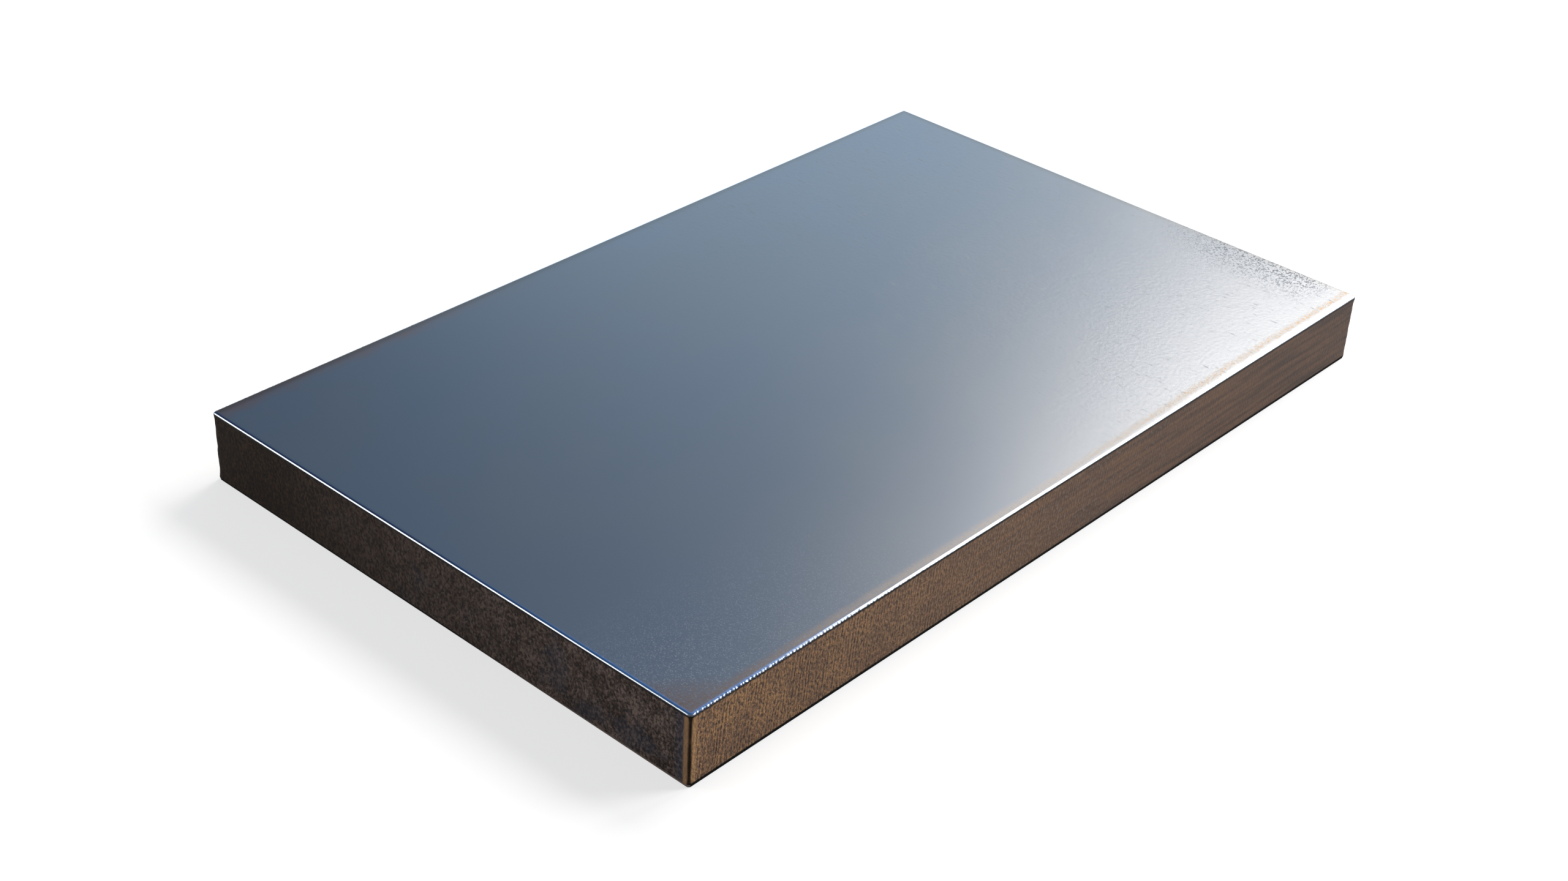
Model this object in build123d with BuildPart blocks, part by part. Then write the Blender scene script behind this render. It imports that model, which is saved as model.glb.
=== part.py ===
"""Thick carbon steel plate: a rectangular blank cut from hot-rolled plate, lying flat.

The blank is one piece of metal. Its two large faces are as rolled, and its four sides are flame
cut. The flame leaves its mark on every edge: it melts the upper arris over into a small round,
it softens the upright corners where the cut turns, and it undercuts the sides just above the
underside, where the slag hung before it was knocked off.

Units are millimetres. +X runs along the length, +Y across the width and +Z up. The origin is the
middle of the underside.
"""

import os

from build123d import *

# The blank
length = 400.0
width = 250.0
thickness = 30.0

# What the flame leaves on its edges
melted_arris_radius = 1.0
turned_corner_radius = 1.6
undercut_height = 1.3
undercut_depth = 0.5


with BuildPart() as steel_plate:
    # The path of the cut, a rectangle with the corners that the torch rounds
    with BuildSketch() as cut_path:
        RectangleRounded(length, width, turned_corner_radius)
    extrude(amount=thickness)

    # The upper arris, melted over all the way round
    top_face = steel_plate.faces().sort_by(Axis.Z)[-1]
    fillet(top_face.edges(), radius=melted_arris_radius)

    # The undercut round the underside, taller than it is deep
    underside = steel_plate.faces().sort_by(Axis.Z)[0]
    chamfer(
        underside.edges(),
        length=undercut_depth,
        length2=undercut_height,
        reference=underside,
    )

steel_plate.part.label = "steel_plate"

os.makedirs("parts", exist_ok=True)
export_step(steel_plate.part, "parts/steel_plate.step")
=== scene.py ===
"""Flame-cut steel plate: mill scale on the rolled faces, lined brown sides, melted arrises.

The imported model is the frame. The dressed plate takes the place of its one node, in metres, and
every relief on it is carved inwards, so that it stays inside the node's box.
"""

import math

import bmesh
import bpy
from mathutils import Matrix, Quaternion, Vector


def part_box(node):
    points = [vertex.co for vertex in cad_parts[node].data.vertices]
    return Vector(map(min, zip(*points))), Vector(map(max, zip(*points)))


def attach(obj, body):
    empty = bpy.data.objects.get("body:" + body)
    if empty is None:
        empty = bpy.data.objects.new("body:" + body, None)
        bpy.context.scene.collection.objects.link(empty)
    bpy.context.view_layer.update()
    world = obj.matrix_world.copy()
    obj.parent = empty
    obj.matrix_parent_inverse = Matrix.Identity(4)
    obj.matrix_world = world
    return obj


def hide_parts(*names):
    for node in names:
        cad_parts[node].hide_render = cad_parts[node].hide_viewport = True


bl_info = {
    "name": "Flame-cut steel plate",
    "version": (1, 0, 0),
    "blender": (4, 5, 0),
    "location": "View3D > Sidebar > Steel plate",
    "description": "Models a flame-cut steel plate round its packed frame and sets its studio",
    "category": "Mesh",
}

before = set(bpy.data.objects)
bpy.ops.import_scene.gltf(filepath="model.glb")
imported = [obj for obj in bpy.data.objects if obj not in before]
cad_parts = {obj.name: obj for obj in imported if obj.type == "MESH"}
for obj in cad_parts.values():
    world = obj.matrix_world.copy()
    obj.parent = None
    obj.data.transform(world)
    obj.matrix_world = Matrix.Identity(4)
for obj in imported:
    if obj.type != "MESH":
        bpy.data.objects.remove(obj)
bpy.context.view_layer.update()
NODE = "steel_plate"
NODE_LOW, NODE_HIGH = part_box(NODE)
MM = 0.001


def linear(hex_colour):
    """The linear colour of an sRGB hex value, as #rrggbb."""
    channels = [int(hex_colour[i:i + 2], 16) / 255 for i in (1, 3, 5)]
    return tuple(c / 12.92 if c <= 0.04045 else ((c + 0.055) / 1.055) ** 2.4 for c in channels)


def size_property(name, description, millimetres):
    """A length that a user would change, given in millimetres and kept in metres."""
    return bpy.props.FloatProperty(
        name=name,
        description=description,
        default=millimetres * MM,
        subtype="DISTANCE",
        unit="LENGTH",
        precision=5,
    )


def colour_property(name, description, hex_colour):
    """A colour that a user would change."""
    return bpy.props.FloatVectorProperty(
        name=name,
        description=description,
        default=linear(hex_colour),
        subtype="COLOR",
        size=3,
        min=0.0,
        max=1.0,
    )


class PlateSizes(bpy.types.PropertyGroup):
    """The sizes of the blank's edges and of the marks that the flame leaves on them."""

    corner_radius: size_property("Corner radius", "Upright corner, where the torch turns", 1.6)
    arris_radius: size_property("Arris radius", "Upper arris, melted over by the flame", 1.0)
    undercut_height: size_property("Undercut height", "Height of the undercut side", 1.3)
    undercut_depth: size_property("Undercut depth", "Depth of the undercut at the underside", 0.5)
    drag_pitch: size_property("Drag line pitch", "Distance from one drag line to the next", 1.5)
    drag_depth: size_property("Drag line depth", "Depth of a drag line", 0.14)
    bead_depth: size_property("Bead depth", "Depth of the notches between the arris beads", 0.25)
    wander_depth: size_property("Wander depth", "Slow unevenness of the cut sides", 0.12)
    nick_depth: size_property("Nick depth", "Roughness of the upright corners", 0.9)


class PlateColours(bpy.types.PropertyGroup):
    """The colours of the scale, the cut sides and the rust."""

    scale: colour_property("Mill scale", "Blue-grey oxide of the rolled faces", "#32475f")
    # Greyer scale, and also the colour of painted shade towards the far end of the cut sides
    dull_scale_and_shade: colour_property("Dull scale", "Greyer oxide, in clouds and pits", "#323f4a")
    scale_brown: colour_property("Brown scale", "Oxide along the left side", "#4b3633")
    heat_blue: colour_property("Heat blue", "Temper colour by the front corner", "#2a5f9e")
    arris_blue: colour_property("Arris blue", "Temper colour further along the cut", "#0e2c55")
    rust: colour_property("Rust", "Rust flecks at the far end", "#bd8426")
    rust_pale: colour_property("Pale rust", "Bloom of rust round the flecks", "#a48248")
    rust_brown: colour_property("Brown rust", "Rust near the front corner", "#4b2b18")
    # Bare scale, and also the colour of painted highlights on the margin and of glints on grit
    bare_and_highlight: colour_property("Bare margin", "Scale that the flame burned bright", "#b9c3c9")
    arris: colour_property("Melted arris", "Bright remelted steel", "#bcc5cf")
    cut_brown: colour_property("Cut side", "Rusted oxide of the long cut sides", "#967660")
    # Paler rust, and also the colour of the painted highlight up the front corner
    tan_and_highlight: colour_property("Tan streak", "Paler rust in the drag lines", "#c39970")
    cut_grey: colour_property("Grey streak", "Grey oxide in the drag lines", "#5f554e")
    # The colour of painted glints on the crests of the cut sides, and of the notches between beads
    cut_glint: colour_property("Bare crest", "Worn crests of the drag lines", "#969494")
    cut_end: colour_property("Cut end", "Oxide of the cut ends", "#94837b")
    # Dark oxide, and also the colour of painted shade on the top's rim, the ends and the arris
    cut_shade: colour_property("Shaded oxide", "Darkest oxide of the cut", "#191717")
    cut_blue: colour_property("Blue oxide", "Bluish oxide on the cut ends", "#434c5e")
    # Black of the slag, and also the colour of painted shadow at the foot of the long sides
    slag: colour_property("Slag", "Black slag along the undercut", "#0a0807")


class StudioSettings(bpy.types.PropertyGroup):
    """The camera and the light."""

    lens: bpy.props.FloatProperty(
        name="Lens", description="Focal length of the camera", default=54.9, unit="CAMERA"
    )
    camera_place: bpy.props.FloatVectorProperty(
        name="Camera place",
        description="Where the camera stands",
        default=(-0.6272, -0.5286, 0.5072),
        subtype="TRANSLATION",
        unit="LENGTH",
    )
    camera_heading: bpy.props.FloatProperty(
        name="Camera heading",
        description="Which way the camera looks, from +X towards +Y",
        default=math.radians(40.97),
        subtype="ANGLE",
    )
    camera_dip: bpy.props.FloatProperty(
        name="Camera dip",
        description="How far the camera looks down",
        default=math.radians(32.40),
        subtype="ANGLE",
    )
    camera_roll: bpy.props.FloatProperty(
        name="Camera roll",
        description="How far the camera leans to the left",
        default=math.radians(3.02),
        subtype="ANGLE",
    )


def add(tree, kind, links=None, **settings):
    """Adds a shader node. links gives each input, by name or place, a value, a socket or a node."""
    node = tree.nodes.new("ShaderNode" + kind)
    for name, value in settings.items():
        setattr(node, name, value)
    for key, value in (links or {}).items():
        named = [s for s in node.inputs if s.enabled and s.name == key]
        socket = node.inputs[key] if isinstance(key, int) else named[0]
        if isinstance(value, bpy.types.Node):
            value = next(s for s in value.outputs if s.enabled)
        if isinstance(value, bpy.types.NodeSocket):
            tree.links.new(value, socket)
        elif socket.type == "RGBA" and len(value) == 3:
            socket.default_value = (*value, 1.0)
        else:
            socket.default_value = value
    return node


def new_material(name):
    """A material with an empty tree, its tree and its output node."""
    material = bpy.data.materials.new(name)
    material.use_nodes = True
    tree = material.node_tree
    tree.nodes.clear()
    return material, tree, tree.nodes.new("ShaderNodeOutputMaterial")


def place_in_mm(tree):
    """The place on the plate in millimetres: the vector, and its X, Y and Z."""
    coordinates = add(tree, "TexCoord")
    scaled = add(
        tree, "VectorMath", {0: coordinates.outputs["Object"], 3: 1 / MM}, operation="SCALE"
    )
    split = add(tree, "SeparateXYZ", {"Vector": scaled.outputs["Vector"]})
    return scaled.outputs["Vector"], split.outputs["X"], split.outputs["Y"], split.outputs["Z"]


def temper_blue(tree, from_front, colours):
    """How vivid the temper blue is, most of all by the front corner, and its colour."""
    vivid = add(
        tree, "MapRange",
        {"Value": from_front, "From Min": 30.0, "From Max": 130.0, "To Min": 1.0, "To Max": 0.0},
    )
    blue = add(
        tree, "Mix", {"Factor": vivid, "A": colours.arris_blue, "B": colours.heat_blue},
        data_type="RGBA",
    )
    return vivid, blue


def mill_scale(sizes, colours):
    """Mill scale, the dense iron oxide that hot rolling leaves: dark blue-grey and satin.

    The eye sees a broad soft reflection with a fine peel in it, glints of grit, brown and
    orange rust beside the cut, temper blue against the melted arris, and a few pits and
    scratches towards the far end.
    """
    material, tree, output = new_material("mill_scale")
    place, x, y, _ = place_in_mm(tree)
    half_length = NODE_HIGH.x / MM
    half_width = NODE_HIGH.y / MM
    arris = sizes.arris_radius / MM

    # Distance in from the edges and from the front corner, and the far part of the length
    from_right = add(tree, "Math", {0: y, 1: half_width}, operation="ADD")
    from_left = add(tree, "Math", {0: half_width, 1: y}, operation="SUBTRACT")
    from_near_end = add(tree, "Math", {0: x, 1: half_length}, operation="ADD")
    from_far_end = add(tree, "Math", {0: half_length, 1: x}, operation="SUBTRACT")
    from_front = add(tree, "Math", {0: from_near_end, 1: from_right}, operation="ADD")
    far_part = add(
        tree, "MapRange",
        {"Value": x, "From Min": -0.2 * half_length, "From Max": 0.5 * half_length},
    )

    # Slow clouding of the oxide, about 60 mm across
    cloud = add(tree, "TexNoise", {"Vector": place, "Scale": 1 / 60, "Detail": 3.0})
    clouded = add(
        tree, "MapRange", {"Value": cloud, "From Min": 0.35, "From Max": 0.65, "To Max": 0.3}
    )

    # What runs beside the cut is ragged by a few millimetres, in patches about 12 mm across
    patch = add(tree, "TexNoise", {"Vector": place, "Scale": 1 / 12, "Detail": 4.0})
    ragged = add(
        tree, "MapRange",
        {"Value": patch, "From Min": 0.25, "From Max": 0.75, "To Min": -2.5, "To Max": 2.5},
    )

    # Brown band along the first third of the left side
    left_reach = add(tree, "Math", {0: from_left, 1: ragged}, operation="ADD")
    band = add(
        tree, "MapRange",
        {"Value": left_reach, "From Min": 3.0, "From Max": 8.0, "To Min": 0.75, "To Max": 0.0},
    )
    band_fade = add(
        tree, "MapRange",
        {"Value": x, "From Min": -0.55 * half_length, "From Max": -0.2 * half_length,
         "To Min": 1.0, "To Max": 0.0},
    )
    brown_band = add(tree, "Math", {0: band, 1: band_fade}, operation="MULTIPLY")
    crumb = add(
        tree, "TexNoise", {"Vector": place, "Scale": 1 / 1.2, "Detail": 4.0, "Roughness": 0.7}
    )
    crumbled = add(
        tree, "MapRange", {"Value": crumb, "From Min": 0.42, "From Max": 0.56, "To Min": 0.3}
    )
    brown_band = add(tree, "Math", {0: brown_band, 1: crumbled}, operation="MULTIPLY")

    # Painted shade: a darker rim of a few millimetres along the left side and the far end
    from_far_edges = add(tree, "Math", {0: from_left, 1: from_far_end}, operation="MINIMUM")
    painted_rim_shade = add(
        tree, "MapRange",
        {"Value": from_far_edges, "From Min": 0.8, "From Max": 5.0, "To Min": 0.75, "To Max": 0.0},
        interpolation_type="SMOOTHSTEP",
    )

    # Rust line inside the right side: brown and close to the arris along the near half, orange
    # flecks further in along the far half
    line_place = add(
        tree, "MapRange",
        {"Value": x, "From Min": -0.1 * half_length, "From Max": 0.6 * half_length,
         "To Min": 2.5, "To Max": 4.6},
    )
    line_reach = add(
        tree, "MapRange",
        {"Value": x, "From Min": -half_length, "From Max": half_length,
         "To Min": 3.8, "To Max": 2.8},
    )
    right_reach = add(tree, "Math", {0: ragged, 1: 0.15, 2: from_right}, operation="MULTIPLY_ADD")
    past_line = add(tree, "Math", {0: right_reach, 1: line_place}, operation="SUBTRACT")
    off_line = add(tree, "Math", {0: past_line}, operation="ABSOLUTE")
    line = add(
        tree, "MapRange", {"Value": off_line, "From Max": line_reach, "To Min": 1.0, "To Max": 0.0},
        interpolation_type="SMOOTHSTEP",
    )
    fleck = add(
        tree, "TexNoise", {"Vector": place, "Scale": 1 / 1.3, "Detail": 4.0, "Roughness": 0.6}
    )
    flecked = add(tree, "MapRange", {"Value": fleck, "From Min": 0.50, "From Max": 0.62})
    bloom_share = add(
        tree, "MapRange",
        {"Value": x, "From Min": -half_length, "From Max": 0.0, "To Min": 0.85, "To Max": 0.5},
    )
    bloom = add(tree, "Math", {0: line, 1: bloom_share}, operation="MULTIPLY")
    bloom = add(tree, "Math", {0: bloom, 1: crumbled}, operation="MULTIPLY")
    flecked = add(tree, "Math", {0: flecked, 1: far_part}, operation="MULTIPLY")
    flecks = add(tree, "Math", {0: line, 1: flecked}, operation="MULTIPLY")
    rust_line = add(tree, "Math", {0: bloom, 1: flecks}, operation="MAXIMUM")

    # Blotch of the same rust on the front corner
    blotch_reach = add(tree, "Math", {0: ragged, 1: 1.6, 2: from_front}, operation="MULTIPLY_ADD")
    blotch = add(
        tree, "MapRange",
        {"Value": blotch_reach, "From Min": 8.0, "From Max": 32.0, "To Min": 0.85, "To Max": 0.0},
        interpolation_type="SMOOTHSTEP",
    )
    blotch = add(tree, "Math", {0: blotch, 1: crumbled}, operation="MULTIPLY")
    rusted = add(tree, "Math", {0: rust_line, 1: blotch}, operation="MAXIMUM")
    along = add(
        tree, "MapRange", {"Value": x, "From Min": -half_length, "From Max": 0.4 * half_length}
    )
    far_rust = add(
        tree, "Mix", {"Factor": flecked, "A": colours.rust_pale, "B": colours.rust},
        data_type="RGBA",
    )
    rust_colour = add(
        tree, "Mix", {"Factor": along, "A": colours.rust_brown, "B": far_rust}, data_type="RGBA"
    )

    # Dark flecks of about a millimetre, where flakes have come off the brown rust
    flaked = add(
        tree, "MapRange", {"Value": crumb, "From Min": 0.56, "From Max": 0.64, "To Max": 0.6}
    )
    near_part = add(tree, "Math", {0: 1.0, 1: far_part}, operation="SUBTRACT")
    for share in (rusted, near_part):
        flaked = add(tree, "Math", {0: flaked, 1: share}, operation="MULTIPLY")

    # Bright margin that the flame left between the rust line and the arris, with a painted highlight
    # that grows towards the far end
    margin = add(
        tree, "MapRange",
        {"Value": past_line, "From Min": -3.2, "From Max": -0.4, "To Min": 0.5, "To Max": 0.0},
        interpolation_type="SMOOTHSTEP",
    )
    highlight_rise = add(
        tree, "MapRange",
        {"Value": x, "From Min": -0.4 * half_length, "From Max": 0.5 * half_length},
    )
    bare_and_highlight = add(tree, "Math", {0: margin, 1: highlight_rise}, operation="MULTIPLY")

    # Temper blue against the melted arris, about a millimetre wide: along the near end, and
    # along about the first quarter of the right side
    near_fringe = add(
        tree, "MapRange",
        {"Value": from_near_end, "From Min": arris, "From Max": arris + 0.9,
         "To Min": 0.85, "To Max": 0.0},
    )
    right_fringe = add(
        tree, "MapRange",
        {"Value": from_right, "From Min": arris, "From Max": arris + 0.9,
         "To Min": 0.9, "To Max": 0.0},
    )
    right_fade = add(
        tree, "MapRange",
        {"Value": from_near_end, "From Min": 40.0, "From Max": 120.0, "To Min": 1.0, "To Max": 0.0},
    )
    right_fringe = add(tree, "Math", {0: right_fringe, 1: right_fade}, operation="MULTIPLY")
    tempered = add(tree, "Math", {0: near_fringe, 1: right_fringe}, operation="MAXIMUM")
    _, blue = temper_blue(tree, from_front, colours)

    # Pits of under a millimetre along the right half of the far end, but not in the rust of the
    # corner
    pit = add(tree, "TexNoise", {"Vector": place, "Scale": 1 / 0.8, "Detail": 2.0})
    pitted = add(tree, "MapRange", {"Value": pit, "From Min": 0.54, "From Max": 0.61})
    near_far_end = add(
        tree, "MapRange",
        {"Value": from_far_end, "From Min": 6.0, "From Max": 30.0, "To Min": 1.0, "To Max": 0.0},
    )
    on_right = add(
        tree, "MapRange",
        {"Value": from_right, "From Min": 60.0, "From Max": 120.0, "To Min": 1.0, "To Max": 0.0},
    )
    off_rust = add(tree, "MapRange", {"Value": from_right, "From Min": 9.0, "From Max": 20.0})
    pits = pitted
    for share in (near_far_end, on_right, off_rust):
        pits = add(tree, "Math", {0: pits, 1: share}, operation="MULTIPLY")

    # Scratches across the width, a few millimetres long
    stretched = add(tree, "Mapping", {"Vector": place, "Scale": (1.0, 0.16, 1.0)})
    scratch = add(
        tree, "TexNoise", {"Vector": stretched, "Scale": 1 / 1.1, "Detail": 3.0, "Roughness": 0.6}
    )
    scratched = add(
        tree, "MapRange", {"Value": scratch, "From Min": 0.62, "From Max": 0.72, "To Max": 0.6}
    )
    scratches = add(tree, "Math", {0: scratched, 1: far_part}, operation="MULTIPLY")
    wear_and_glint = add(tree, "Math", {0: pits, 1: scratches}, operation="MAXIMUM")

    # Satin where the scale is whole, matt where it rusted or broke
    satin = add(
        tree, "MapRange",
        {"Value": cloud, "From Min": 0.3, "From Max": 0.7, "To Min": 0.29, "To Max": 0.315},
    )
    matt_rust = rusted
    for share in (along, 0.8):
        matt_rust = add(tree, "Math", {0: matt_rust, 1: share}, operation="MULTIPLY")
    broken = add(tree, "Math", {0: matt_rust, 1: wear_and_glint}, operation="MAXIMUM")
    rough = add(
        tree, "Math", {0: broken, 1: 0.42, 2: satin}, operation="MULTIPLY_ADD", use_clamp=True
    )

    # Specks of grit of about half a millimetre beside the first third of the right side, painted
    # as bright glints, each as bright as it happens to be, and none on the rust
    grit = add(tree, "TexVoronoi", {"Vector": place, "Scale": 1 / 0.5})
    dot = add(
        tree, "MapRange", {"Value": grit.outputs["Distance"], "From Min": 0.55, "From Max": 0.15}
    )
    glint = add(
        tree, "MapRange", {"Value": grit.outputs["Color"], "From Min": 0.30, "From Max": 0.90}
    )
    grit_reach = add(
        tree, "MapRange",
        {"Value": from_right, "From Min": 20.0, "From Max": 75.0, "To Min": 1.0, "To Max": 0.0},
        interpolation_type="SMOOTHSTEP",
    )
    grit_fade = add(
        tree, "MapRange",
        {"Value": x, "From Min": -0.9 * half_length, "From Max": -0.3 * half_length,
         "To Min": 1.0, "To Max": 0.0},
    )
    unrusted = add(tree, "Math", {0: 1.0, 1: rusted}, operation="SUBTRACT", use_clamp=True)
    gritty = dot
    for share in (glint, grit_reach, grit_fade, unrusted):
        gritty = add(tree, "Math", {0: gritty, 1: share}, operation="MULTIPLY")
    painted_glint_speck = add(tree, "Math", {0: gritty, 1: 0.4}, operation="MULTIPLY")

    # The relief: a peel of about 2 mm with the grain of the scratches, stronger in the far part,
    # raised grit and sunken pits
    grit_rise = add(tree, "Math", {0: gritty, 1: 0.1}, operation="MULTIPLY")
    peel = add(
        tree, "TexNoise", {"Vector": place, "Scale": 1 / 1.6, "Detail": 3.0, "Roughness": 0.5}
    )
    grain = add(tree, "Math", {0: scratch, 1: 0.35, 2: peel}, operation="MULTIPLY_ADD")
    grain_share = add(
        tree, "MapRange",
        {"Value": x, "From Min": -0.2 * half_length, "From Max": 0.5 * half_length,
         "To Min": 0.08, "To Max": 0.6},
    )
    marks = add(tree, "Math", {0: pits, 1: -0.8, 2: grit_rise}, operation="MULTIPLY_ADD")
    height = add(tree, "Math", {0: grain, 1: grain_share, 2: marks}, operation="MULTIPLY_ADD")
    relief = add(tree, "Bump", {"Height": height, "Strength": 0.6, "Distance": 0.1 * MM})

    # The colours lie over one another in this order
    colour = colours.scale
    for share, tint in (
        (clouded, colours.dull_scale_and_shade),
        (brown_band, colours.scale_brown),
        (painted_rim_shade, colours.cut_shade),
        (rusted, rust_colour),
        (flaked, colours.cut_shade),
        (bare_and_highlight, colours.bare_and_highlight),
        (tempered, blue),
        (wear_and_glint, colours.dull_scale_and_shade),
        (painted_glint_speck, colours.bare_and_highlight),
    ):
        colour = add(tree, "Mix", {"Factor": share, "A": colour, "B": tint}, data_type="RGBA")
    surface = add(
        tree, "BsdfPrincipled",
        {"Base Color": colour, "IOR": 2.0, "Roughness": rough, "Normal": relief},
    )
    tree.links.new(surface.outputs[0], output.inputs["Surface"])
    return material


def flame_cut_steel(sizes, colours):
    """Flame-cut steel, rusted over: drag lines under a matt brown oxide.

    The eye sees fine upright streaks in tan and grey near the front corner, long grey bands
    towards the far end under painted blue-grey shade, mottled ends darkened by painted shade, tan
    strips of painted highlight with a dark line between them up the front corner, and black slag
    along the undercut that also serves as painted shadow at the foot of the long sides.
    """
    material, tree, output = new_material("flame_cut_steel")
    place, x, y, z = place_in_mm(tree)
    half_length = NODE_HIGH.x / MM
    half_width = NODE_HIGH.y / MM
    arris_foot = (NODE_HIGH.z - sizes.arris_radius) / MM

    # Distance in from the ends and the long sides, and whether a place is on an end
    across_length = add(tree, "Math", {0: x}, operation="ABSOLUTE")
    from_end = add(tree, "Math", {0: half_length, 1: across_length}, operation="SUBTRACT")
    across_width = add(tree, "Math", {0: y}, operation="ABSOLUTE")
    from_side = add(tree, "Math", {0: half_width, 1: across_width}, operation="SUBTRACT")
    in_from_corner = add(tree, "Math", {0: from_end, 1: from_side}, operation="MAXIMUM")
    round_corner = add(tree, "Math", {0: from_end, 1: from_side}, operation="ADD")
    sideways = add(tree, "Math", {0: from_side, 1: from_end}, operation="SUBTRACT")
    on_end = add(tree, "MapRange", {"Value": sideways, "From Min": -0.3, "From Max": 0.3})
    near = add(
        tree, "MapRange",
        {"Value": x, "From Min": -half_length, "From Max": 0.1 * half_length,
         "To Min": 1.0, "To Max": 0.15},
    )

    # Drag lines at the torch's pitch, leaning a little
    leaning = add(tree, "Mapping", {"Vector": place, "Scale": (1.0, 1.0, -0.1)})
    drag = add(
        tree, "TexWave",
        {"Vector": leaning, "Scale": 2 * math.pi * MM / (10 * sizes.drag_pitch),
         "Distortion": 5.0, "Detail": 3.0, "Detail Scale": 0.8},
        wave_type="BANDS", bands_direction="DIAGONAL", wave_profile="SIN",
    )

    # Grain in lumps of about a millimetre, which break the drag lines up and hide them on the ends
    upright = add(tree, "Mapping", {"Vector": place, "Scale": (1.0, 1.0, 0.8)})
    grain = add(
        tree, "TexNoise", {"Vector": upright, "Scale": 1 / 1.2, "Detail": 3.0, "Roughness": 0.6}
    )
    lined = add(tree, "Math", {0: on_end, 1: -0.08, 2: 0.10}, operation="MULTIPLY_ADD")
    crest = add(tree, "Math", {0: drag, 1: lined, 2: grain}, operation="MULTIPLY_ADD")

    # The rust comes and goes in patches about 14 mm across
    patch = add(tree, "TexNoise", {"Vector": place, "Scale": 1 / 14, "Detail": 3.0})
    patched = add(
        tree, "MapRange",
        {"Value": patch, "From Min": 0.30, "From Max": 0.70, "To Min": -0.08, "To Max": 0.08},
    )
    rusty = add(tree, "Math", {0: crest, 1: patched}, operation="ADD")
    tan = add(tree, "MapRange", {"Value": rusty, "From Min": 0.52, "From Max": 0.66})
    tan = add(tree, "Math", {0: tan, 1: near}, operation="MULTIPLY")
    grey = add(
        tree, "MapRange", {"Value": crest, "From Min": 0.54, "From Max": 0.40, "To Max": 0.9}
    )
    grey_share = add(
        tree, "MapRange", {"Value": near, "From Min": 0.25, "From Max": 0.8, "To Min": 0.15}
    )
    grey = add(tree, "Math", {0: grey, 1: grey_share}, operation="MULTIPLY")

    # Dark oxide in the drag lines, which are deeper near the front corner
    carved = add(tree, "Attribute", attribute_name="carved")
    sunken = add(
        tree, "MapRange",
        {"Value": carved.outputs["Fac"], "From Min": 0.12, "From Max": 0.24, "To Max": 0.3},
    )

    # Long bands towards the far end, about 2 mm apart and some 40 mm long. The turn only keeps
    # them off the grid of the noise.
    stretched = add(
        tree, "Mapping",
        {"Vector": place, "Rotation": (0.0, math.radians(-11), 0.0), "Scale": (0.03, 1.0, 0.7)},
        vector_type="POINT",
    )
    long_band = add(
        tree, "TexNoise", {"Vector": stretched, "Scale": 0.8, "Detail": 4.0, "Roughness": 0.6}
    )
    banded = add(
        tree, "MapRange", {"Value": long_band, "From Min": 0.40, "From Max": 0.62, "To Max": 0.75}
    )
    far = add(tree, "Math", {0: 1.0, 1: near}, operation="SUBTRACT")
    far_banded = add(tree, "Math", {0: banded, 1: far}, operation="MULTIPLY")

    # Painted shade in blue-grey, deepening towards the far end
    far_painted_shade = add(
        tree, "MapRange",
        {"Value": x, "From Min": -half_length, "From Max": half_length, "To Max": 0.5},
    )

    # Painted grey glints on the crests of the bands, 10 mm short of half way along
    off_middle = add(tree, "Math", {0: x, 1: 10.0}, operation="ADD")
    off_middle = add(tree, "Math", {0: off_middle}, operation="ABSOLUTE")
    halfway = add(
        tree, "MapRange",
        {"Value": off_middle, "From Min": 40.0, "From Max": 120.0, "To Min": 0.7, "To Max": 0.0},
    )
    wear_and_glint = add(tree, "MapRange", {"Value": crest, "From Min": 0.60, "From Max": 0.72})
    for share in (banded, halfway):
        wear_and_glint = add(tree, "Math", {0: wear_and_glint, 1: share}, operation="MULTIPLY")

    # Painted shade on the ends, deepest at the left
    end_shade = add(
        tree, "MapRange", {"Value": y, "From Min": -half_width, "From Max": 0.7 * half_width}
    )
    mottle = add(
        tree, "TexNoise", {"Vector": place, "Scale": 1 / 1.3, "Detail": 5.0, "Roughness": 0.7}
    )
    blotch = add(tree, "TexNoise", {"Vector": place, "Scale": 1 / 8, "Detail": 2.0})
    mottle = add(tree, "Math", {0: blotch, 1: 0.45, 2: mottle}, operation="MULTIPLY_ADD")
    mottled = add(
        tree, "MapRange", {"Value": mottle, "From Min": 0.65, "From Max": 0.82, "To Max": 0.9}
    )
    evened = add(tree, "Math", {0: end_shade, 1: -0.5, 2: 1.0}, operation="MULTIPLY_ADD")
    calm = add(tree, "Math", {0: far, 1: -0.6, 2: 1.0}, operation="MULTIPLY_ADD")
    for share in (evened, calm):
        mottled = add(tree, "Math", {0: mottled, 1: share}, operation="MULTIPLY")
    hollow = add(
        tree, "MapRange", {"Value": crest, "From Min": 0.52, "From Max": 0.44, "To Max": 0.6}
    )
    hollow = add(tree, "Math", {0: hollow, 1: calm}, operation="MULTIPLY")
    end_colour = colours.cut_end
    for share in (end_shade, mottled, hollow):
        end_colour = add(
            tree, "Mix", {"Factor": share, "A": end_colour, "B": colours.cut_shade},
            data_type="RGBA",
        )
    end_mask = add(tree, "Math", {0: on_end, 1: 0.92}, operation="MULTIPLY")

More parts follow.
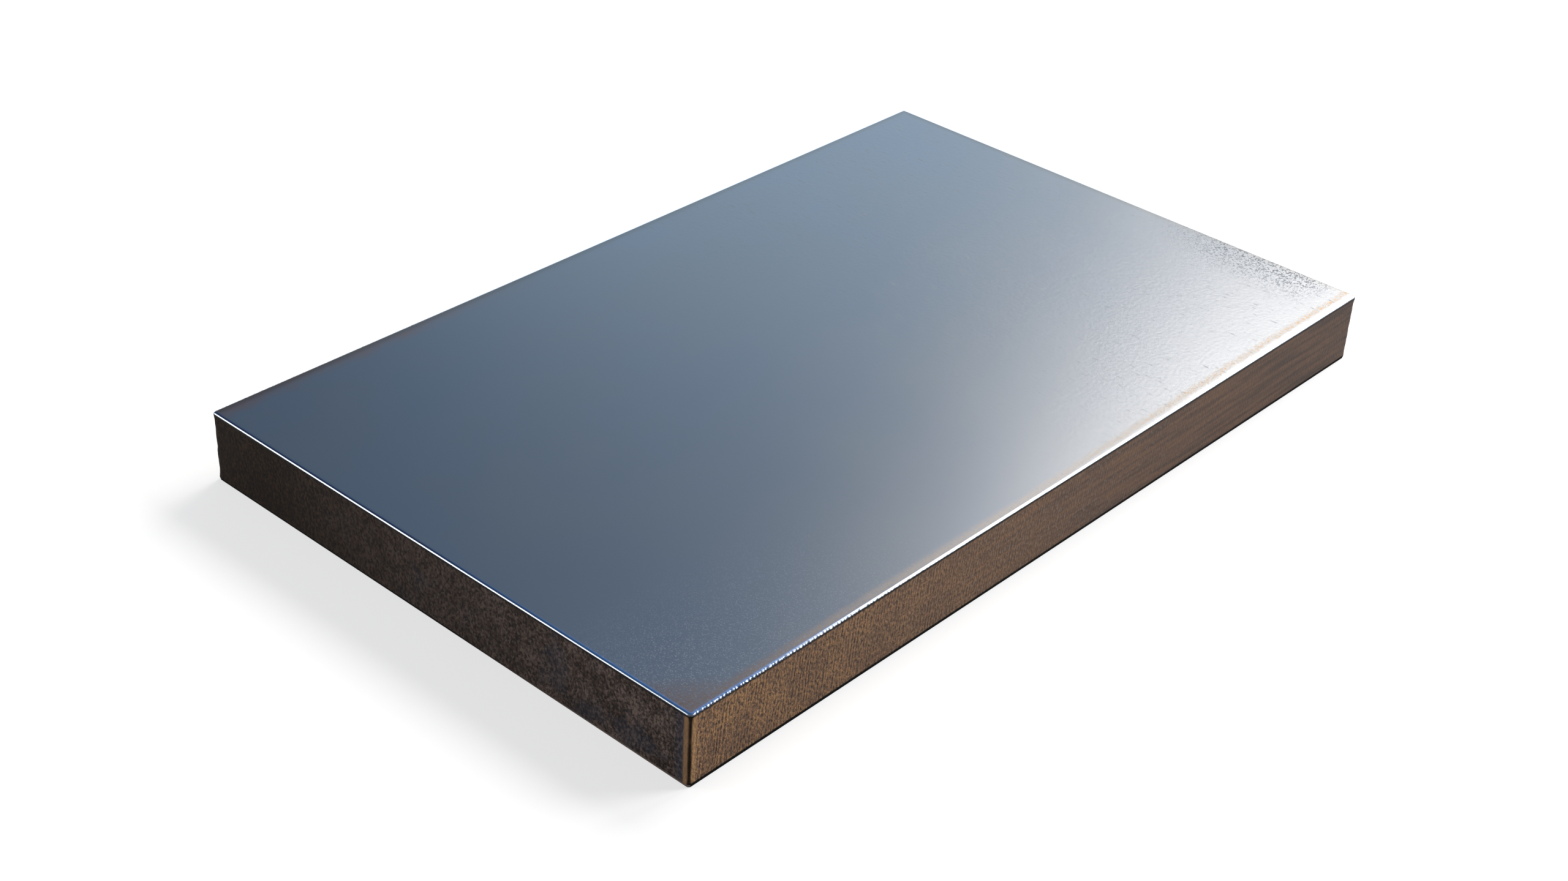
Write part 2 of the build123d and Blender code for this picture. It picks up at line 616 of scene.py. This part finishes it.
    # Bluish oxide on the ends: a strip by the front corner and a few patches
    blue_patch = add(
        tree, "MapRange", {"Value": patch, "From Min": 0.56, "From Max": 0.66, "To Max": 0.45}
    )
    unshaded = add(tree, "Math", {0: 1.0, 1: end_shade}, operation="SUBTRACT")
    blue_patch = add(tree, "Math", {0: blue_patch, 1: unshaded}, operation="MULTIPLY")
    at_near_end = add(tree, "Math", {0: x, 1: 0.0}, operation="LESS_THAN")
    at_right = add(tree, "Math", {0: y, 1: 0.0}, operation="LESS_THAN")
    at_front = add(tree, "Math", {0: at_near_end, 1: at_right}, operation="MULTIPLY")
    blue_strip = add(
        tree, "MapRange",
        {"Value": in_from_corner, "From Min": 3.5, "From Max": 8.0, "To Min": 0.6, "To Max": 0.0},
    )
    blue_strip = add(tree, "Math", {0: blue_strip, 1: at_front}, operation="MULTIPLY")
    bluish = add(tree, "Math", {0: blue_patch, 1: blue_strip}, operation="MAXIMUM")
    bluish = add(tree, "Math", {0: bluish, 1: on_end}, operation="MULTIPLY")

    # Tan strips up the front corner, a painted highlight of its lit edges, and a dark line on each
    # corner where the torch turned
    painted_lit_strip = add(
        tree, "MapRange",
        {"Value": in_from_corner, "From Min": 2.4, "From Max": 3.4, "To Min": 0.9, "To Max": 0.0},
    )
    painted_lit_strip = add(tree, "Math", {0: painted_lit_strip, 1: at_front}, operation="MULTIPLY")
    turn = add(
        tree, "MapRange",
        {"Value": round_corner, "From Min": 1.1, "From Max": 1.4, "To Min": 0.95, "To Max": 0.0},
    )

    # Painted shade under the arris, and black slag just above the undercut of the long sides, which
    # also stands in for painted shadow at their foot
    under_arris = add(
        tree, "MapRange",
        {"Value": z, "From Min": arris_foot - 0.6, "From Max": arris_foot, "To Max": 0.7},
    )
    undercut_line = sizes.undercut_height / MM
    foot_slag_and_shadow = add(
        tree, "MapRange",
        {"Value": z, "From Min": undercut_line + 0.4, "From Max": undercut_line + 0.7,
         "To Min": 1.0, "To Max": 0.0},
    )
    on_side = add(tree, "Math", {0: 1.0, 1: on_end}, operation="SUBTRACT")
    foot_slag_and_shadow = add(tree, "Math", {0: foot_slag_and_shadow, 1: on_side}, operation="MULTIPLY")

    # The relief: the crests, strongest by the front corner, with the bands and the mottle in it
    rugged = add(
        tree, "MapRange",
        {"Value": x, "From Min": -half_length, "From Max": 0.1 * half_length,
         "To Min": 0.85, "To Max": 0.14},
    )
    end_rest = add(tree, "Math", {0: end_shade, 1: on_end}, operation="MULTIPLY")
    end_rest = add(tree, "Math", {0: end_rest, 1: -0.75, 2: 1.0}, operation="MULTIPLY_ADD")
    rugged = add(tree, "Math", {0: rugged, 1: end_rest}, operation="MULTIPLY")
    height = add(tree, "Math", {0: crest, 1: rugged}, operation="MULTIPLY")
    ridge = add(tree, "Math", {0: far_banded, 1: 0.05}, operation="MULTIPLY")
    height = add(tree, "Math", {0: height, 1: ridge}, operation="ADD")
    crumbled = add(tree, "Math", {0: mottled, 1: on_end}, operation="MULTIPLY")
    height = add(tree, "Math", {0: crumbled, 1: -0.12, 2: height}, operation="MULTIPLY_ADD")
    relief = add(tree, "Bump", {"Height": height, "Strength": 1.0, "Distance": 1.6 * MM})

    # The colours lie over one another in this order
    colour = colours.cut_brown
    for share, tint in (
        (tan, colours.tan_and_highlight),
        (grey, colours.cut_grey),
        (sunken, colours.cut_shade),
        (far_banded, colours.cut_grey),
        (far_painted_shade, colours.dull_scale_and_shade),
        (wear_and_glint, colours.cut_glint),
        (end_mask, end_colour),
        (bluish, colours.cut_blue),
        (painted_lit_strip, colours.tan_and_highlight),
        (turn, colours.cut_shade),
        (under_arris, colours.cut_shade),
        (foot_slag_and_shadow, colours.slag),
    ):
        colour = add(tree, "Mix", {"Factor": share, "A": colour, "B": tint}, data_type="RGBA")
    surface = add(
        tree, "BsdfPrincipled",
        {"Base Color": colour, "Roughness": 0.7, "Specular IOR Level": 0.06, "Normal": relief},
    )
    tree.links.new(surface.outputs[0], output.inputs["Surface"])
    return material


def melted_arris(sizes, colours):
    """Remelted steel on the upper arris: bright and smooth, blued above, with painted shade below.

    The eye sees a thin white line along the ends, and along the sides beads with blue between
    them, which fade away from the front corner.
    """
    material, tree, output = new_material("melted_arris")
    place, x, y, z = place_in_mm(tree)
    top = NODE_HIGH.z / MM
    across_length = add(tree, "Math", {0: x}, operation="ABSOLUTE")
    across_width = add(tree, "Math", {0: y}, operation="ABSOLUTE")
    endwise = add(tree, "Math", {0: across_length, 1: across_width}, operation="SUBTRACT")
    lead = (NODE_HIGH.x - NODE_HIGH.y) / MM
    on_end = add(
        tree, "MapRange", {"Value": endwise, "From Min": lead - 0.3, "From Max": lead + 0.3}
    )
    rise = add(
        tree, "MapRange", {"Value": z, "From Min": top - sizes.arris_radius / MM, "From Max": top}
    )
    grain = add(tree, "TexNoise", {"Vector": place, "Scale": 1 / 1.2, "Detail": 2.0})

    # Blue on the upper part by the near end and the front corner
    from_near_end = add(tree, "Math", {0: x, 1: NODE_HIGH.x / MM}, operation="ADD")
    from_right = add(tree, "Math", {0: y, 1: NODE_HIGH.y / MM}, operation="ADD")
    from_front = add(tree, "Math", {0: from_near_end, 1: from_right}, operation="ADD")
    vivid, blue = temper_blue(tree, from_front, colours)
    at_near_end = add(tree, "Math", {0: x, 1: 0.0}, operation="LESS_THAN")
    blue_share = add(tree, "Math", {0: on_end, 1: at_near_end}, operation="MULTIPLY")
    blue_share = add(tree, "Math", {0: blue_share, 1: vivid}, operation="MAXIMUM")
    blued = add(tree, "MapRange", {"Value": rise, "From Min": 0.82, "From Max": 0.90})
    blued = add(tree, "Math", {0: blued, 1: blue_share}, operation="MULTIPLY")

    # Notches between the beads, blue by the front corner and grey further on
    carved = add(tree, "Attribute", attribute_name="carved")
    notch = add(
        tree, "MapRange", {"Value": carved.outputs["Fac"], "From Min": 0.05, "From Max": 0.14}
    )
    beaded = add(
        tree, "MapRange",
        {"Value": from_front, "From Min": 80.0, "From Max": 260.0, "To Min": 1.0, "To Max": 0.0},
    )
    notch = add(tree, "Math", {0: notch, 1: beaded}, operation="MULTIPLY")
    notch_colour = add(
        tree, "Mix", {"Factor": vivid, "A": colours.cut_glint, "B": colours.heat_blue},
        data_type="RGBA",
    )
    oxide = add(tree, "Math", {0: blued, 1: notch}, operation="MAXIMUM")
    metal = add(tree, "Math", {0: oxide, 1: -0.85, 2: 1.0}, operation="MULTIPLY_ADD")

    # Painted shade at its foot, in the colour of dark oxide
    painted_foot_shade = add(
        tree, "MapRange",
        {"Value": rise, "From Min": 0.40, "From Max": 0.52, "To Min": 1.0, "To Max": 0.0},
    )
    relief = add(tree, "Bump", {"Height": grain, "Strength": 0.08, "Distance": 0.1 * MM})

    # The colours lie over one another in this order
    colour = colours.arris
    for share, tint in (
        (notch, notch_colour),
        (blued, blue),
        (painted_foot_shade, colours.cut_shade),
    ):
        colour = add(tree, "Mix", {"Factor": share, "A": colour, "B": tint}, data_type="RGBA")
    surface = add(
        tree, "BsdfPrincipled",
        {"Base Color": colour, "Metallic": metal, "Roughness": 0.24, "Normal": relief},
    )
    tree.links.new(surface.outputs[0], output.inputs["Surface"])
    return material


def slag_crust(colours):
    """Slag, the glassy iron oxide that the flame blew out: black and matt once brushed off.

    The eye sees an unbroken black line under the sides, slag that is also painted shadow.
    """
    material, tree, output = new_material("slag_crust")
    place, x, y, _ = place_in_mm(tree)
    crumb = add(tree, "TexNoise", {"Vector": place, "Scale": 1 / 1.5, "Detail": 3.0})
    wear_and_glint = add(
        tree, "MapRange", {"Value": crumb, "From Min": 0.55, "From Max": 0.75, "To Max": 0.35}
    )
    colour = add(
        tree, "Mix", {"Factor": wear_and_glint, "A": colours.slag, "B": colours.cut_shade}, data_type="RGBA"
    )

    # Along the near end by the front corner the undercut takes the brown of the end, down to its
    # foot
    at_near_end = add(tree, "Math", {0: x, 1: NODE_LOW.x / MM + 1.0}, operation="LESS_THAN")
    clean = add(
        tree, "MapRange",
        {"Value": y, "From Min": 0.7 * NODE_LOW.y / MM, "From Max": 0.1 * NODE_LOW.y / MM,
         "To Min": 1.0, "To Max": 0.0},
    )
    clean = add(tree, "Math", {0: clean, 1: at_near_end}, operation="MULTIPLY")
    colour = add(
        tree, "Mix", {"Factor": clean, "A": colour, "B": colours.cut_end}, data_type="RGBA"
    )
    relief = add(tree, "Bump", {"Height": crumb, "Strength": 0.8, "Distance": 0.3 * MM})
    surface = add(
        tree, "BsdfPrincipled",
        {"Base Color": colour, "Roughness": 0.9, "Specular IOR Level": 0.05, "Normal": relief},
    )
    tree.links.new(surface.outputs[0], output.inputs["Surface"])
    return material


def select_where(obj, kind, test):
    """In edit mode, selects only the vertices, edges or faces that pass the test."""
    bpy.ops.mesh.select_mode(type={"verts": "VERT", "edges": "EDGE", "faces": "FACE"}[kind])
    bpy.ops.mesh.select_all(action="DESELECT")
    mesh = bmesh.from_edit_mesh(obj.data)
    for element in getattr(mesh, kind):
        if test(element):
            element.select_set(True)
    mesh.select_flush_mode()
    bmesh.update_edit_mesh(obj.data)


def shape_blank(sizes):
    """Models the blank: its outline, the cut sides in rows, the arris and the undercut."""
    corner_segments = 5
    column_width = 0.36 * MM
    side_rows = 14
    arris_rows = 5
    flat_margin = 0.3 * MM
    length, width, thickness = NODE_HIGH - NODE_LOW

    # The path of the cut, with the corners that the torch rounds
    bpy.ops.object.select_all(action="DESELECT")
    bpy.ops.mesh.primitive_plane_add(size=1, location=(0, 0, NODE_LOW.z + sizes.undercut_height))
    plate = bpy.context.object
    plate.name = plate.data.name = "dressed_steel_plate"
    bpy.ops.object.mode_set(mode="EDIT")
    bpy.ops.transform.resize(value=(length, width, 1))
    bpy.ops.mesh.bevel(
        offset=sizes.corner_radius, segments=corner_segments, affect="VERTICES", offset_type="OFFSET"
    )
    bpy.ops.mesh.delete(type="ONLY_FACE")

    # Two passes of cuts bring each straight side to columns of the wanted width
    longest_column = 1.5 * column_width
    for axis, side in enumerate((length, width)):
        for _ in range(2):
            select_where(
                plate, "edges",
                lambda e: abs((e.verts[0].co - e.verts[1].co)[axis]) > longest_column,
            )
            bpy.ops.mesh.subdivide(number_cuts=round(math.sqrt(side / column_width)) - 1)
    bpy.ops.mesh.select_all(action="SELECT")
    bpy.ops.mesh.edge_face_add()
    if bmesh.from_edit_mesh(plate.data).faces[-1].normal.z < 0:
        bpy.ops.mesh.flip_normals()

    # The cut sides, row by row
    side_height = thickness - sizes.undercut_height - sizes.arris_radius
    for _ in range(side_rows):
        bpy.ops.mesh.extrude_region_move(
            TRANSFORM_OT_translate={"value": (0, 0, side_height / side_rows)}
        )

    # The arris turns over in equal steps of angle
    turned = [math.radians(90 * i / arris_rows) for i in range(arris_rows + 1)]
    for before, after in zip(turned, turned[1:]):
        bpy.ops.mesh.inset(
            thickness=sizes.arris_radius * (math.cos(before) - math.cos(after)),
            depth=sizes.arris_radius * (math.sin(after) - math.sin(before)),
        )
    bpy.ops.mesh.inset(thickness=flat_margin, depth=0)

    # The undercut goes down and in from the lowest ring
    bpy.ops.mesh.select_all(action="SELECT")
    bpy.ops.mesh.normals_make_consistent(inside=False)
    select_where(
        plate, "faces", lambda f: len(f.verts) > 4 and f.calc_center_median().z < side_height / 2
    )
    bpy.ops.mesh.inset(thickness=sizes.undercut_depth, depth=sizes.undercut_height)
    bpy.ops.mesh.inset(thickness=flat_margin, depth=0)
    bpy.ops.object.mode_set(mode="OBJECT")
    bpy.ops.object.transform_apply(location=True, rotation=True, scale=True)
    return plate


def smooth_step(low, high, value):
    """0 below low, 1 above high, and a smooth rise between them."""
    share = min(1.0, max(0.0, (value - low) / (high - low)))
    return share * share * (3 - 2 * share)


def weigh(plate, name, weight_at):
    """A vertex group whose weight depends on the place."""
    group = plate.vertex_groups.new(name=name)
    for vertex in plate.data.vertices:
        weight = weight_at(vertex.co)
        if weight > 0:
            group.add([vertex.index], weight, "REPLACE")


def carve(plate, group, depth, stretch, kind, **settings):
    """Carves a relief inwards. stretch is the size of one unit of its pattern on each axis."""
    texture = bpy.data.textures.new(group, kind)
    for name, value in settings.items():
        setattr(texture, name, value)
    bpy.ops.object.empty_add(location=NODE_LOW)
    guide = bpy.context.object
    guide.scale = stretch
    bpy.ops.object.select_all(action="DESELECT")
    plate.select_set(True)
    bpy.context.view_layer.objects.active = plate
    bpy.ops.object.modifier_add(type="DISPLACE")
    relief = plate.modifiers[-1]
    relief.texture = texture
    relief.texture_coords = "OBJECT"
    relief.texture_coords_object = guide
    relief.vertex_group = group
    relief.mid_level = 1.0
    relief.strength = depth
    bpy.context.view_layer.update()
    bpy.ops.object.modifier_apply(modifier=relief.name)
    bpy.data.objects.remove(guide)


def carve_flame_marks(plate, sizes):
    """Drag lines, wander, arris beads and nicked corners, each as deep as its group lets it."""
    top = NODE_HIGH.z
    arris_foot = top - sizes.arris_radius
    arris_middle = top - 0.3 * sizes.arris_radius

    def off_rims(place):
        """1 on the side, falling to 0 at the undercut and at the arris."""
        below = smooth_step(0.2 * MM, 2.5 * MM, place.z)
        above = 1 - smooth_step(arris_foot - 1.5 * MM, arris_foot + 0.1 * MM, place.z)
        return below * above

    def on_cut(place):
        """Deepest by the front corner, shallow towards the far end and the left side."""
        along = 1 - 0.9 * smooth_step(NODE_LOW.x, 0.35 * NODE_HIGH.x, place.x)
        across = 1 - 0.75 * smooth_step(NODE_LOW.y, NODE_HIGH.y, place.y)
        corner_side = NODE_HIGH.x - 2 * sizes.corner_radius
        crumbled = 1 - 0.7 * smooth_step(corner_side, NODE_HIGH.x, abs(place.x))
        return off_rims(place) * along * across * crumbled

    def on_arris(place):
        """The arris of the long sides, deepest by the near end."""
        rise = smooth_step(arris_foot - 0.3 * MM, arris_foot + 0.5 * MM, place.z)
        fall = 1 - smooth_step(arris_middle, top, place.z)
        on_side = abs(place.x) < NODE_HIGH.x - 1.5 * sizes.corner_radius
        along = 1 - smooth_step(NODE_LOW.x, 0.3 * NODE_HIGH.x, place.x)
        return rise * fall * (0.1 + 0.9 * along * along) * on_side

    def on_corner(place):
        """The upright corners, the front one least."""
        reach = 1.8 * sizes.corner_radius
        in_x = smooth_step(NODE_HIGH.x - reach, NODE_HIGH.x, abs(place.x))
        in_y = smooth_step(NODE_HIGH.y - reach, NODE_HIGH.y, abs(place.y))
        front = place.x < 0 and place.y < 0
        return off_rims(place) * in_x * in_y * (0.1 if front else 1.0)

    weigh(plate, "drag_lines", on_cut)
    weigh(plate, "wander", on_cut)
    weigh(plate, "beads", on_arris)
    weigh(plate, "corner_nicks", on_corner)

    # A band texture repeats each 2 pi / 10 of its units along the sum of its axes, and the lines
    # lean by one pitch in each lag of height
    band = 10 / (2 * math.pi)
    lag = -16 * MM
    line_stretch = (sizes.drag_pitch * band, sizes.drag_pitch * band, lag * band)
    uncarved = [vertex.co.copy() for vertex in plate.data.vertices]
    carve(
        plate, "drag_lines", sizes.drag_depth, line_stretch, "WOOD",
        wood_type="BANDNOISE", noise_basis_2="SIN", noise_scale=1.6, turbulence=9.0,
    )
    carve(
        plate, "wander", sizes.wander_depth, (9 * MM, 9 * MM, 14 * MM), "CLOUDS",
        noise_scale=1.0, noise_depth=3,
    )
    carve(
        plate, "beads", sizes.bead_depth, line_stretch, "WOOD",
        wood_type="BANDNOISE", noise_basis_2="SIN", noise_scale=0.9, turbulence=8.0,
        intensity=1.2, contrast=1.4,
    )
    carve(
        plate, "corner_nicks", sizes.nick_depth, (8 * MM, 8 * MM, 3.5 * MM), "CLOUDS",
        noise_scale=1.0, noise_depth=1,
    )
    for group in list(plate.vertex_groups):
        plate.vertex_groups.remove(group)

    # Nothing may leave the node's box, and the materials read the carved depth in millimetres
    carved = plate.data.attributes.new("carved", "FLOAT", "POINT")
    for depth, vertex, place in zip(carved.data, plate.data.vertices, uncarved):
        vertex.co = [
            min(max(at, low), high) for at, low, high in zip(vertex.co, NODE_LOW, NODE_HIGH)
        ]
        depth.value = (vertex.co - place).length / MM


def dress(plate, sizes, colours):
    """Gives each face of the plate its material."""
    for material in (
        mill_scale(sizes, colours),
        flame_cut_steel(sizes, colours),
        melted_arris(sizes, colours),
        slag_crust(colours),
    ):
        plate.data.materials.append(material)
    flat_normal = 0.999
    arris_foot = NODE_HIGH.z - sizes.arris_radius
    undercut_top = NODE_LOW.z + sizes.undercut_height
    for face in plate.data.polygons:
        if abs(face.normal.z) > flat_normal:
            face.material_index = 0
        elif face.center.z > arris_foot:
            face.material_index = 2
        elif face.center.z > undercut_top:
            face.material_index = 1
        else:
            face.material_index = 3


class STEEL_OT_set_stage(bpy.types.Operator):
    """Lays the pale floor with low walls far off, hangs the soft lamps and stands the camera"""

    bl_idname = "steel.set_stage"
    bl_label = "Set the stage"

    def execute(self, context):
        studio = context.scene.steel_studio
        floor_size = 30
        wall_height = 3

        bpy.ops.object.select_all(action="DESELECT")
        bpy.ops.mesh.primitive_plane_add(size=floor_size, location=(0, 0, NODE_LOW.z))
        floor = context.object
        floor.name = "studio_floor"
        bpy.ops.object.mode_set(mode="EDIT")
        bpy.ops.mesh.select_all(action="SELECT")
        bpy.ops.mesh.extrude_edges_move(TRANSFORM_OT_translate={"value": (0, 0, wall_height)})
        bpy.ops.object.mode_set(mode="OBJECT")
        material, tree, output = new_material("pale_floor")
        paper = add(tree, "BsdfDiffuse", {"Color": linear("#b4b4b4")})
        glow = add(tree, "Emission", {"Color": linear("#ffffff"), "Strength": 0.65})
        path = add(tree, "LightPath")
        direct = add(
            tree, "Math", {0: path.outputs["Is Camera Ray"], 1: path.outputs["Is Glossy Ray"]},
            operation="MAXIMUM",
        )
        seen = add(
            tree, "Math", {0: direct, 1: path.outputs["Is Transmission Ray"]}, operation="MAXIMUM"
        )
        dark = add(tree, "Emission", {"Strength": 0.0})
        lit = add(tree, "MixShader", {0: seen.outputs[0], 1: dark, 2: glow})
        both = add(tree, "AddShader", {0: paper, 1: lit})
        tree.links.new(both.outputs[0], output.inputs["Surface"])
        floor.data.materials.append(material)

        world = bpy.data.worlds.new("studio_air")
        world.use_nodes = True
        context.scene.world = world
        air = world.node_tree.nodes["Background"]
        air.inputs["Color"].default_value = (*linear("#eef3ff"), 1.0)
        air.inputs["Strength"].default_value = 0.15

        # Each lamp: heading from +X towards +Y, height above the floor, distance, size, power, tint
        lamps = {
            "window_lamp": (7.5, 39, 2.0, 1.28, 43.5, "#fffbf6"),
            "low_lamp": (42.5, 13, 2.0, 1.26, 6.1, "#cdeaff"),
            "side_lamp": (-36, 35, 2.4, 1.0, 38, "#ffffff"),
            "back_lamp": (136, 25, 2.0, 0.8, 9.5, "#ffffff"),
        }
        for name, (heading, height, distance, size, power, tint) in lamps.items():
            heading, height = math.radians(heading), math.radians(height)
            towards = Vector((
                math.cos(heading) * math.cos(height),
                math.sin(heading) * math.cos(height),
                math.sin(height),
            ))
            bpy.ops.object.light_add(
                type="AREA",
                location=towards * distance,
                rotation=towards.to_track_quat("Z", "Y").to_euler(),
            )
            lamp = context.object
            lamp.name = name
            lamp.data.shape = "DISK"
            lamp.data.size = size
            lamp.data.energy = power
            lamp.data.color = linear(tint)

        look = Vector((
            math.cos(studio.camera_heading) * math.cos(studio.camera_dip),
            math.sin(studio.camera_heading) * math.cos(studio.camera_dip),
            -math.sin(studio.camera_dip),
        ))
        lean = Quaternion((0, 0, 1), studio.camera_roll)
        turned = look.to_track_quat("-Z", "Y") @ lean
        bpy.ops.object.camera_add(location=studio.camera_place, rotation=turned.to_euler())
        camera = context.object
        camera.name = "studio_camera"
        camera.data.sensor_width = 36
        camera.data.lens = studio.lens
        camera.data.clip_start = 0.01
        context.scene.camera = camera
        context.scene.view_settings.view_transform = "Standard"
        return {"FINISHED"}


class STEEL_OT_build_plate(bpy.types.Operator):
    """Models the plate round its node in the frame and gives it its finish"""

    bl_idname = "steel.build_plate"
    bl_label = "Build the plate"

    def execute(self, context):
        sizes = context.scene.steel_sizes
        colours = context.scene.steel_colours
        smooth_below = math.radians(35)
        plate = shape_blank(sizes)
        dress(plate, sizes, colours)
        carve_flame_marks(plate, sizes)
        bpy.ops.object.shade_smooth_by_angle(angle=smooth_below)
        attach(plate, "root")
        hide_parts(NODE)
        return {"FINISHED"}


class STEEL_PT_plate(bpy.types.Panel):
    """Lists the operators in the sidebar"""

    bl_label = "Steel plate"
    bl_idname = "STEEL_PT_plate"
    bl_space_type = "VIEW_3D"
    bl_region_type = "UI"
    bl_category = "Steel plate"

    def draw(self, context):
        self.layout.operator(STEEL_OT_set_stage.bl_idname)
        self.layout.operator(STEEL_OT_build_plate.bl_idname)
        for group in (
            context.scene.steel_sizes,
            context.scene.steel_colours,
            context.scene.steel_studio,
        ):
            for name in group.__annotations__:
                self.layout.prop(group, name)


CLASSES = (
    PlateSizes,
    PlateColours,
    StudioSettings,
    STEEL_OT_set_stage,
    STEEL_OT_build_plate,
    STEEL_PT_plate,
)


def register():
    for cls in CLASSES:
        bpy.utils.register_class(cls)
    bpy.types.Scene.steel_sizes = bpy.props.PointerProperty(type=PlateSizes)
    bpy.types.Scene.steel_colours = bpy.props.PointerProperty(type=PlateColours)
    bpy.types.Scene.steel_studio = bpy.props.PointerProperty(type=StudioSettings)


def unregister():
    del bpy.types.Scene.steel_studio
    del bpy.types.Scene.steel_colours
    del bpy.types.Scene.steel_sizes
    for cls in reversed(CLASSES):
        bpy.utils.unregister_class(cls)


def main():
    register()
    bpy.ops.steel.set_stage()
    bpy.ops.steel.build_plate()


if __name__ == "__main__":
    main()
